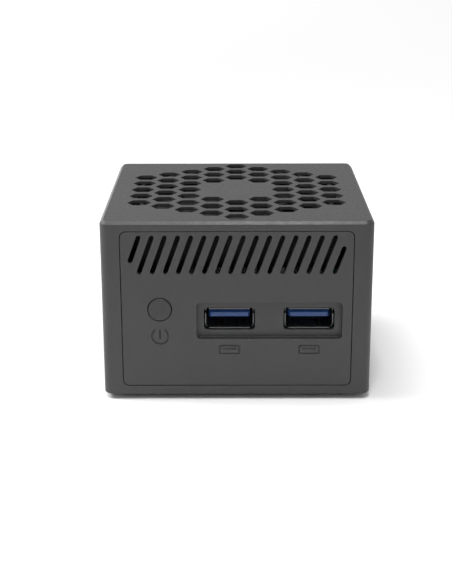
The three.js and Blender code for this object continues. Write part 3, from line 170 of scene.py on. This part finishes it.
def noise(tree, scale, detail=3.0, stretch=(1, 1, 1)):
    """A noise texture in the part's own space, in cells per metre."""
    place = tree.nodes.new("ShaderNodeTexCoord")
    mapping = tree.nodes.new("ShaderNodeMapping")
    mapping.inputs["Scale"].default_value = stretch
    texture = tree.nodes.new("ShaderNodeTexNoise")
    texture.inputs["Scale"].default_value = scale
    texture.inputs["Detail"].default_value = detail
    tree.links.new(place.outputs["Object"], mapping.inputs["Vector"])
    tree.links.new(mapping.outputs["Vector"], texture.inputs["Vector"])
    return texture.outputs["Fac"]


def vary_color(tree, bsdf, fac, low, high):
    """The base colour runs from low to high as fac does."""
    ramp = tree.nodes.new("ShaderNodeValToRGB")
    ramp.color_ramp.elements[0].position = 0.3
    ramp.color_ramp.elements[1].position = 0.7
    ramp.color_ramp.elements[0].color = (*low, 1)
    ramp.color_ramp.elements[1].color = (*high, 1)
    tree.links.new(fac, ramp.inputs["Fac"])
    tree.links.new(ramp.outputs["Color"], bsdf.inputs["Base Color"])


def vary_roughness(tree, bsdf, fac, low, high):
    spread = tree.nodes.new("ShaderNodeMapRange")
    spread.inputs["From Min"].default_value = 0.3
    spread.inputs["From Max"].default_value = 0.7
    spread.inputs["To Min"].default_value = low
    spread.inputs["To Max"].default_value = high
    tree.links.new(fac, spread.inputs["Value"])
    tree.links.new(spread.outputs["Result"], bsdf.inputs["Roughness"])


def bump(tree, bsdf, fac, depth, strength=1.0):
    """A relief of the given depth in metres."""
    relief = tree.nodes.new("ShaderNodeBump")
    relief.inputs["Strength"].default_value = strength
    relief.inputs["Distance"].default_value = depth
    tree.links.new(fac, relief.inputs["Height"])
    tree.links.new(relief.outputs["Normal"], bsdf.inputs["Normal"])


def moulded_plastic(name, color, roughness, grain=4200, depth=0.006 * MM):
    """Matt moulded plastic: spark-eroded grain, with slow drifts of shade and gloss."""
    material, tree, bsdf = shader(name, color, roughness)
    drift = noise(tree, 60, 2)
    vary_color(tree, bsdf, drift, [c * 0.96 for c in color], [c * 1.04 for c in color])
    vary_roughness(tree, bsdf, noise(tree, 900, 2), roughness - 0.04, roughness + 0.05)
    bump(tree, bsdf, noise(tree, grain, 2), depth)
    return material


def smooth_plastic(name, color, roughness, gloss=0.5):
    """Plain injection-moulded plastic with faint flow marks."""
    material, tree, bsdf = shader(name, color, roughness)
    bsdf.inputs["Specular IOR Level"].default_value = gloss
    flow = noise(tree, 300, 2, stretch=(1, 0.3, 1))
    vary_color(tree, bsdf, flow, [c * 0.93 for c in color], [c * 1.07 for c in color])
    vary_roughness(tree, bsdf, flow, roughness - 0.05, roughness + 0.05)
    return material


def dust_and_top_light_plastic(name, color, dust_and_top_light_color, roughness, gloss):
    """Dark plastic that is lighter on whatever faces up: partly a film of dust, partly painted light falling
    from above.
    """
    material, tree, bsdf = shader(name, color, roughness)
    bsdf.inputs["Specular IOR Level"].default_value = gloss
    # The colour is lighter on faces that point up: partly dust, partly painted overhead light.
    facing = tree.nodes.new("ShaderNodeNewGeometry")
    axes = tree.nodes.new("ShaderNodeSeparateXYZ")
    dust_and_top_light_mask = tree.nodes.new("ShaderNodeMath")
    dust_and_top_light_mask.operation = "MULTIPLY"
    tree.links.new(facing.outputs["Normal"], axes.inputs["Vector"])
    tree.links.new(axes.outputs["Z"], dust_and_top_light_mask.inputs[0])
    tree.links.new(noise(tree, 500, 3), dust_and_top_light_mask.inputs[1])
    vary_color(tree, bsdf, dust_and_top_light_mask.outputs["Value"], color, dust_and_top_light_color)
    return material


def metal(name, color, roughness, stretch=(1, 12, 1), grain=1500, depth=0.004 * MM):
    """Rolled or plated metal with a fine one-way grain."""
    material, tree, bsdf = shader(name, color, roughness, 1.0)
    grain_fac = noise(tree, grain, 3, stretch)
    vary_color(tree, bsdf, grain_fac, [c * 0.9 for c in color], [min(1, c * 1.06) for c in color])
    vary_roughness(tree, bsdf, grain_fac, roughness - 0.06, roughness + 0.08)
    bump(tree, bsdf, grain_fac, depth)
    return material


def rubber(name, color):
    material, tree, bsdf = shader(name, color, 0.82)
    bump(tree, bsdf, noise(tree, 2600, 4), 0.03 * MM)
    vary_color(tree, bsdf, noise(tree, 200, 2), [c * 0.85 for c in color], [c * 1.2 for c in color])
    return material


def circuit_board(name, color):
    """Solder resist over copper: tracks show as slightly lighter, raised lines."""
    material, tree, bsdf = shader(name, color, 0.42)
    place = tree.nodes.new("ShaderNodeTexCoord")
    tracks = tree.nodes.new("ShaderNodeTexBrick")
    tracks.inputs["Scale"].default_value = 420
    tracks.inputs["Mortar Size"].default_value = 0.06
    tracks.inputs["Color1"].default_value = (*color, 1)
    tracks.inputs["Color2"].default_value = (*[c * 0.8 for c in color], 1)
    tracks.inputs["Mortar"].default_value = (*[c * 2.2 for c in color], 1)
    tree.links.new(place.outputs["Object"], tracks.inputs["Vector"])
    tree.links.new(tracks.outputs["Color"], bsdf.inputs["Base Color"])
    bump(tree, bsdf, tracks.outputs["Fac"], 0.02 * MM)
    return material


def make_materials():
    """One material for each of the record's slots."""
    return {
        "grey_plastic": moulded_plastic("grey_plastic_fine_grain", (0.0265, 0.0265, 0.0275), 0.45),
        # Black plastic, lighter on up-facing faces: a dust film, and painted light from above.
        "black_plastic": dust_and_top_light_plastic(
            "black_plastic_dust_and_painted_top_light", (0.008, 0.008, 0.008), (0.03, 0.03, 0.03), 0.5, 0.2
        ),
        "blue_plastic": smooth_plastic("blue_plastic_smooth", (0.009, 0.046, 0.17), 0.42),
        "rubber": rubber("rubber_matt", (0.014, 0.014, 0.014)),
        "black_steel": metal("steel_blackened", (0.115, 0.115, 0.115), 0.45),
        "steel": metal("steel_nickel_plate", (0.52, 0.52, 0.53), 0.32),
        "aluminium": metal("aluminium_anodised", (0.66, 0.67, 0.69), 0.38, stretch=(1, 6, 1)),
        "gold": metal("gold_flash", (0.86, 0.62, 0.26), 0.28),
        "copper": metal("copper_winding", (0.72, 0.32, 0.16), 0.33, stretch=(1, 1, 20)),
        "board": circuit_board("board_solder_resist", (0.008, 0.045, 0.03)),
        "chip": moulded_plastic("chip_epoxy", (0.014, 0.014, 0.015), 0.6, grain=6000),
        "ferrite": metal("ferrite_sintered", (0.07, 0.065, 0.065), 0.6, stretch=(1, 1, 1)),
        "wire": smooth_plastic("wire_sheath", (0.008, 0.008, 0.008), 0.5),
    }


# ---- mesh helpers --------------------------------------------------------------------------------


def ring_loop(width, height, radius, steps):
    """A rectangle with round corners, anticlockwise, as (u, v) pairs."""
    loop = []
    for quarter, (su, sv) in enumerate(((1, 1), (-1, 1), (-1, -1), (1, -1))):
        for i in range(steps + 1):
            a = (quarter + i / steps) * math.pi / 2
            u = su * (width / 2 - radius) + radius * math.cos(a)
            loop.append((u, sv * (height / 2 - radius) + radius * math.sin(a)))
    return loop


def new_mesh(name, points, faces, smooth=True):
    mesh = bpy.data.meshes.new(name)
    mesh.from_pydata([tuple(p) for p in points], [], faces)
    mesh.validate()
    work = bmesh.new()
    work.from_mesh(mesh)
    bmesh.ops.remove_doubles(work, verts=work.verts, dist=1e-7)
    bmesh.ops.recalc_face_normals(work, faces=work.faces)
    work.to_mesh(mesh)
    work.free()
    for face in mesh.polygons:
        face.use_smooth = smooth
    return mesh


def piece(name, mesh, body, slot):
    """A new object in the scene that rides on a body and takes its finish from a slot."""
    obj = bpy.data.objects.new(name, mesh)
    bpy.context.scene.collection.objects.link(obj)
    mesh.materials.append(MATERIALS[slot])
    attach(obj, body)
    return obj


def skin(rings, caps=True):
    """Points and faces of a tube through equal rings of points, with its ends closed or not."""
    count = len(rings[0])
    faces = []
    for k in range(len(rings) - 1):
        for i in range(count):
            j = (i + 1) % count
            faces.append((k * count + i, k * count + j, (k + 1) * count + j, (k + 1) * count + i))
    if caps:
        faces.append(tuple(reversed(range(count))))
        faces.append(tuple(range((len(rings) - 1) * count, len(rings) * count)))
    return [p for ring in rings for p in ring], faces


def circle(sides):
    return [2 * math.pi * i / sides for i in range(sides)]


def turned(profile, sides, matrix):
    """Points and faces of a solid turned about its own Z from (radius, height) pairs, then put in place."""
    ways = [Vector((math.cos(a), math.sin(a), 0)) for a in circle(sides)]
    rings = []
    for radius, height in profile:
        rise = Vector((0, 0, height))
        rings.append([matrix @ (radius * way + rise) for way in ways])
    return skin(rings)


def box_points(low, high):
    x0, y0, z0 = low
    x1, y1, z1 = high
    ring = [(x0, y0), (x1, y0), (x1, y1), (x0, y1)]
    return skin([[(x, y, z0) for x, y in ring], [(x, y, z1) for x, y in ring]])


def merged(parts):
    """Several (points, faces) pairs as one."""
    points, faces = [], []
    for more_points, more_faces in parts:
        start = len(points)
        points.extend(more_points)
        faces.extend(tuple(i + start for i in face) for face in more_faces)
    return points, faces


def soften(obj, width, segments=2, angle=30):
    """Rounds the sharp edges of an object and shades it from its large faces."""
    bevel = obj.modifiers.new("edge", "BEVEL")
    bevel.width = width
    bevel.segments = segments
    bevel.limit_method = "ANGLE"
    bevel.angle_limit = math.radians(angle)
    bevel.use_clamp_overlap = True
    normals = obj.modifiers.new("normals", "WEIGHTED_NORMAL")
    normals.keep_sharp = False
    normals.weight = 80


def soften_cad(obj, width, flatten=True):
    """The same for a CAD node. Its triangles are joined into flat faces first, unless that closes holes."""
    weld = obj.modifiers.new("weld", "WELD")
    weld.merge_threshold = 0.002 * MM
    if flatten:
        flat = obj.modifiers.new("flat", "DECIMATE")
        flat.decimate_type = "DISSOLVE"
        flat.angle_limit = math.radians(0.5)
    for face in obj.data.polygons:
        face.use_smooth = True
    soften(obj, width)
    obj.modifiers["edge"].use_clamp_overlap = False


def cut_with(obj, points_and_faces):
    """Cuts a shape out of an object for good."""
    tool = bpy.data.objects.new("tool", new_mesh("tool", *points_and_faces, smooth=False))
    bpy.context.scene.collection.objects.link(tool)
    boolean = obj.modifiers.new("cut", "BOOLEAN")
    boolean.operation = "DIFFERENCE"
    boolean.solver = "EXACT"
    boolean.object = tool
    depsgraph = bpy.context.evaluated_depsgraph_get()
    obj.data = bpy.data.meshes.new_from_object(obj.evaluated_get(depsgraph))
    obj.modifiers.clear()
    bpy.data.objects.remove(tool)


# ---- CAD nodes -----------------------------------------------------------------------------------


def dress_cad_nodes():
    """Every CAD node takes its slot's material, and soft edges where its size asks for them."""
    slots = {entry["node"]: entry["material_slot"] for entry in frame["record"]["subparts"]}
    for name, node in nodes.items():
        for entry in node.material_slots:
            entry.material = MATERIALS[slots[name]]
    soften_cad(nodes["housing"], EDGE_SOFT, flatten=False)
    for name in ("front_panel", "rear_panel", "bottom_cover"):
        soften_cad(nodes[name], EDGE_SOFT)
    for name in ("usb_rear_shell", "hdmi_shell", "ethernet_shield", "dc_jack", "heatsink", "fan_frame"):
        soften_cad(nodes[name], EDGE_CRISP)


# ---- power button --------------------------------------------------------------------------------


def make_power_button():
    low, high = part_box("power_button")
    centre = Vector(((low.x + high.x) / 2, low.y, (low.z + high.z) / 2))
    collar = (high.x - low.x) / 2
    radius = collar - BUTTON_RIM
    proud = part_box("housing")[0].y - low.y
    depth = high.y - low.y
    flat = radius - BUTTON_FILLET
    profile = []
    for i in range(BUTTON_STEPS + 1):
        r = flat * i / BUTTON_STEPS
        profile.append((max(r, AXIS), BUTTON_DISH * (r / radius) ** 2))
    edge = profile[-1][1]
    for i in range(1, BUTTON_STEPS + 1):
        a = math.pi / 2 * i / BUTTON_STEPS
        profile.append((flat + BUTTON_FILLET * math.sin(a), edge + BUTTON_FILLET * (1 - math.cos(a))))
    seat = proud + BUTTON_SKIRT
    back = seat + BUTTON_COLLAR
    profile += [(radius, seat), (collar, seat), (collar, back)]
    profile += [(BUTTON_STEM, back), (BUTTON_STEM, depth), (AXIS, depth)]
    turn = Matrix.Translation(centre) @ Matrix.Rotation(math.radians(-90), 4, "X")
    mesh = new_mesh("power_button_cap", *turned(profile, RIM_SIDES, turn))
    obj = piece("power_button_cap", mesh, "button", "grey_plastic")
    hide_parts("power_button")
    obj.data.materials[0] = moulded_plastic("grey_plastic_button", (0.0205, 0.0205, 0.0215), 0.5)
    obj.modifiers.new("normals", "WEIGHTED_NORMAL").weight = 60


# ---- front data sockets --------------------------------------------------------------------------


def socket_shell_rings(low, high, inner):
    """Rings of points from a socket's mouth to its back. The mouth is cut back at the corners."""
    width = high.x - low.x - 2 * SHELL_SLACK
    height = high.z - low.z - SHELL_SLACK
    centre_x = (low.x + high.x) / 2
    centre_z = low.z + SHELL_SLACK / 2 + height / 2
    shrink = 2 * SHEET if inner else 0
    base = ring_loop(width - shrink, height - shrink, SHELL_CORNER - shrink / 2, ROUND_STEPS)
    dense = []
    for i, (u, v) in enumerate(base):
        nu, nv = base[(i + 1) % len(base)]
        steps = max(1, round(math.hypot(nu - u, nv - v) / LIP_RAMP))
        for k in range(steps):
            dense.append((u + (nu - u) * k / steps, v + (nv - v) * k / steps))

    def cut_back(u, v):
        beyond = min(max(abs(u) - LIP_HALF_WIDE, 0), max(abs(v) - LIP_HALF_HIGH, 0))
        return CORNER_BACK * min(1, beyond / LIP_RAMP)

    front = [(centre_x + u, low.y + MOUTH_BACK + cut_back(u, v), centre_z + v) for u, v in dense]
    back = [(centre_x + u, high.y, centre_z + v) for u, v in dense]
    return [front, back]


def make_front_socket(side):
    """One socket: metal shell, blue tongue with its contacts, and the block behind."""
    low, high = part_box(f"usb_front_{side}_shell")
    outer = socket_shell_rings(low, high, False)
    inner = socket_shell_rings(low, high, True)
    points, faces = skin(outer + inner[::-1], caps=False)
    count = len(outer[0])
    last = (len(outer) + len(inner) - 1) * count
    faces += [(i, last + i, last + (i + 1) % count, (i + 1) % count) for i in range(count)]
    name = f"usb_front_{side}_sleeve"
    shell = piece(name, new_mesh(name, points, faces), "base_unit", "black_steel")
    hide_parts(f"usb_front_{side}_shell")
    centre_x = (low.x + high.x) / 2
    start = low.y + FINGER_SLOT_START
    for x in (centre_x - FINGER_OFFSET, centre_x + FINGER_OFFSET):
        for edge in (-1, 1):
            for level in (low.z, high.z):
                cut_with(shell, finger_slot(x, edge, start, level))
    soften(shell, 0.07 * MM, 2, 50)
    make_tongue(side, low, high)
    make_contacts(side, low, high)
    make_springs(side, low, high)


def finger_slot(x, edge, front, level):
    """One of the two slanted slots that free a spring finger in the shell's floor or roof."""
    half = FINGER_SLOT_HALF
    near = x + edge * FINGER_SLOT_NEAR
    far = x + edge * FINGER_SLOT_FAR
    back = front + FINGER_SLOT_LENGTH
    ring = [(near - half, front), (near + half, front), (far + half, back), (far - half, back)]
    return skin([[(px, py, level + dz) for px, py in ring] for dz in (-FINGER_SLOT_DOWN, FINGER_SLOT_UP)])


def make_tongue(side, low, high):
    """The tongue with its bevelled nose, and the block that closes the socket's back."""
    roof = high.z - SHEET - ROOF_GAP
    floor = low.z + SHEET + BASE_GAP
    top = roof - TONGUE_DROP
    bottom = top - TONGUE_THICK
    centre_x = (low.x + high.x) / 2
    half = TONGUE_WIDTH / 2
    nose = low.y + TONGUE_INSET
    rings = []
    for dy, shrink, under, over in TONGUE_RINGS:
        x0 = centre_x - half + shrink * MM
        x1 = centre_x + half - shrink * MM
        z0 = bottom + under * MM
        z1 = top - over * MM
        y = nose + dy * MM
        rings.append([(x0, y, z0), (x1, y, z0), (x1, y, z1), (x0, y, z1)])
    block = box_points(
        (centre_x - half - BLOCK_OVERHANG, high.y - BLOCK_DEPTH, floor),
        (centre_x + half + BLOCK_OVERHANG, high.y - BLOCK_BACK_GAP, roof),
    )
    mesh = new_mesh(f"usb_front_{side}_tongue", *merged([skin(rings), block]), smooth=True)
    obj = piece(f"usb_front_{side}_tongue", mesh, "base_unit", "blue_plastic")
    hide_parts(f"usb_front_{side}_core")
    soften(obj, 0.1 * MM, 3, 20)


def make_contacts(side, low, high):
    """Four long contacts let into the tongue's underside, and five short ones further in."""
    bottom = high.z - SHEET - ROOF_GAP - TONGUE_DROP - TONGUE_THICK
    centre_x = (low.x + high.x) / 2
    strips = []
    for places, start, length, half in CONTACT_ROWS:
        for x in places:
            strips.append(box_points(
                (centre_x + (x - half) * MM, low.y + start * MM, bottom - CONTACT_PROUD),
                (centre_x + (x + half) * MM, low.y + (start + length) * MM, bottom + CONTACT_SUNK),
            ))
    mesh = new_mesh(f"usb_front_{side}_contacts", *merged(strips), smooth=False)
    piece(f"usb_front_{side}_contacts", mesh, "base_unit", "gold")


def make_springs(side, low, high):
    """The two fingers in the floor, bent up between their slots."""
    centre_x = (low.x + high.x) / 2
    fingers = []
    for finger in (-1, 1):
        x = centre_x + finger * FINGER_OFFSET
        rings = []
        for i in range(SPRING_STEPS + 1):
            t = i / SPRING_STEPS
            x0 = x - SPRING_HALF - SPRING_WIDENS * t
            x1 = x + SPRING_HALF + SPRING_WIDENS * t
            y = low.y + SPRING_START + SPRING_LENGTH * t
            z1 = low.z + SHEET + SPRING_LIFT + SPRING_RISE * math.sin(math.pi * t) ** 1.5
            z0 = z1 - SPRING_THICK
            rings.append([(x0, y, z0), (x1, y, z0), (x1, y, z1), (x0, y, z1)])
        fingers.append(skin(rings))
    mesh = new_mesh(f"usb_front_{side}_springs", *merged(fingers))
    obj = piece(f"usb_front_{side}_springs", mesh, "base_unit", "black_steel")
    soften(obj, 0.03 * MM, 1, 40)


# ---- fan -----------------------------------------------------------------------------------------


def make_fan_seal():
    """A foam ring between the fan's duct and the thin part of the top."""
    frame_low, frame_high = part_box("fan_frame")
    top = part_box("housing")[1].z
    low = frame_high.z + SEAL_GAP_LOW
    high = top - GRILLE_THICK - SEAL_GAP_HIGH
    outer = (frame_high.x - frame_low.x) / 2 - SEAL_INSET
    inner = outer - SEAL_THICK
    rings = []
    for radius, z in ((inner, low), (outer, low), (outer, high), (inner, high)):
        rings.append([(radius * math.cos(a), radius * math.sin(a), z) for a in circle(RIM_SIDES)])
    points, faces = skin(rings + rings[:1], caps=False)
    obj = piece("fan_seal", new_mesh("fan_seal", points, faces), "base_unit", "rubber")
    soften(obj, 0.15 * MM, 2, 40)


# ---- underside -----------------------------------------------------------------------------------


def make_foot(name):
    low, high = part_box(name)
    radius = max(high.x - low.x, high.y - low.y) / 2
    flat = radius - FOOT_FILLET
    profile = [(AXIS, FOOT_DISH), (radius * 0.55, FOOT_DISH), (radius * 0.62, 0.0), (flat, 0.0)]
    for i in range(1, ROUND_STEPS + 1):
        a = math.pi / 2 * i / ROUND_STEPS
        profile.append((flat + FOOT_FILLET * math.sin(a), FOOT_FILLET * (1 - math.cos(a))))
    profile += [(radius, high.z), (AXIS, high.z)]
    place = Matrix.Translation(((low.x + high.x) / 2, (low.y + high.y) / 2, 0))
    mesh = new_mesh(f"{name}_pad", *turned(profile, FOOT_SIDES, place))
    obj = piece(f"{name}_pad", mesh, "base_unit", "rubber")
    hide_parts(name)
    obj.modifiers.new("normals", "WEIGHTED_NORMAL").weight = 60


def make_cover_screw(name):
    """A pan head with a cross recess, and its shank."""
    low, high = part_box(name)
    radius = max(high.x - low.x, high.y - low.y) / 2
    length = high.z - low.z
    profile = [(AXIS, 0)]
    for i in range(ROUND_STEPS + 1):
        a = math.pi / 2 * i / ROUND_STEPS
        profile.append((radius * (0.55 + 0.45 * math.sin(a)), SCREW_CROWN * (1 - math.cos(a))))
    profile += [(radius, SCREW_HEAD), (radius * 0.5, SCREW_HEAD), (radius * 0.5, length), (AXIS, length)]
    place = Matrix.Translation(((low.x + high.x) / 2, (low.y + high.y) / 2, low.z))
    mesh = new_mesh(f"{name}_head", *turned(profile, SCREW_SIDES, place))
    obj = piece(f"{name}_head", mesh, "base_unit", "black_steel")
    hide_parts(name)
    x, y, _ = place.translation
    arm = radius * 0.62
    for half_x, half_y in ((arm, CROSS_HALF), (CROSS_HALF, arm)):
        cut_with(obj, box_points(
            (x - half_x, y - half_y, low.z - MM), (x + half_x, y + half_y, low.z + CROSS_DEPTH)
        ))
    obj.modifiers.new("normals", "WEIGHTED_NORMAL").weight = 60


# ---- stage ---------------------------------------------------------------------------------------


def make_floor():
    corners = [(x * FLOOR_HALF, y * FLOOR_HALF, -FLOOR_DROP) for x, y in ((-1, -1), (1, -1), (1, 1), (-1, 1))]
    mesh = new_mesh("floor", corners, [(0, 1, 2, 3)])
    material, _, bsdf = shader("floor_paper", (FLOOR_WHITE, FLOOR_WHITE, FLOOR_WHITE), 1.0)
    bsdf.inputs["Specular IOR Level"].default_value = 0
    mesh.materials.append(material)
    obj = bpy.data.objects.new("floor", mesh)
    bpy.context.scene.collection.objects.link(obj)


def make_world():
    world = bpy.data.worlds.new("studio")
    world.use_nodes = True
    background = world.node_tree.nodes["Background"]
    background.inputs["Color"].default_value = (1, 1, 1, 1)
    background.inputs["Strength"].default_value = SKY
    bpy.context.scene.world = world


def make_lights():
    sun = bpy.data.lights.new("overhead", "SUN")
    sun.energy = OVERHEAD_POWER
    sun.angle = OVERHEAD_WIDE
    overhead = bpy.data.objects.new("overhead", sun)
    bpy.context.scene.collection.objects.link(overhead)
    overhead.rotation_euler = Vector(OVERHEAD_FROM).to_track_quat("Z", "Y").to_euler()
    for name, place, size, power in LIGHTS:
        data = bpy.data.lights.new(name, "AREA")
        data.size = size
        data.energy = power
        obj = bpy.data.objects.new(name, data)
        bpy.context.scene.collection.objects.link(obj)
        obj.location = place
        obj.rotation_euler = (LIGHT_TARGET - Vector(place)).to_track_quat("-Z", "Y").to_euler()
        obj.visible_camera = False


def make_camera():
    data = bpy.data.cameras.new("camera")
    data.lens = CAMERA_LENS
    data.sensor_width = 36
    data.clip_start = 0.01
    data.clip_end = 30
    obj = bpy.data.objects.new("camera", data)
    bpy.context.scene.collection.objects.link(obj)
    tilt = Matrix.Rotation(math.pi / 2 - CAMERA_DOWN, 4, "X")
    turn = Matrix.Rotation(CAMERA_TURN, 4, "Z")
    roll = Matrix.Rotation(CAMERA_ROLL, 4, "Z")
    obj.matrix_world = Matrix.Translation(CAMERA_PLACE) @ turn @ tilt @ roll
    bpy.context.scene.camera = obj


# ---- the scene -----------------------------------------------------------------------------------

bpy.context.scene.view_settings.view_transform = "Standard"
MATERIALS = make_materials()
dress_cad_nodes()
make_power_button()
make_fan_seal()
for side in ("left", "right"):
    make_front_socket(side)
for end in ("front", "rear"):
    for side in ("left", "right"):
        make_foot(f"foot_{end}_{side}")
        make_cover_screw(f"cover_screw_{end}_{side}")
make_floor()
make_world()
make_lights()
make_camera()
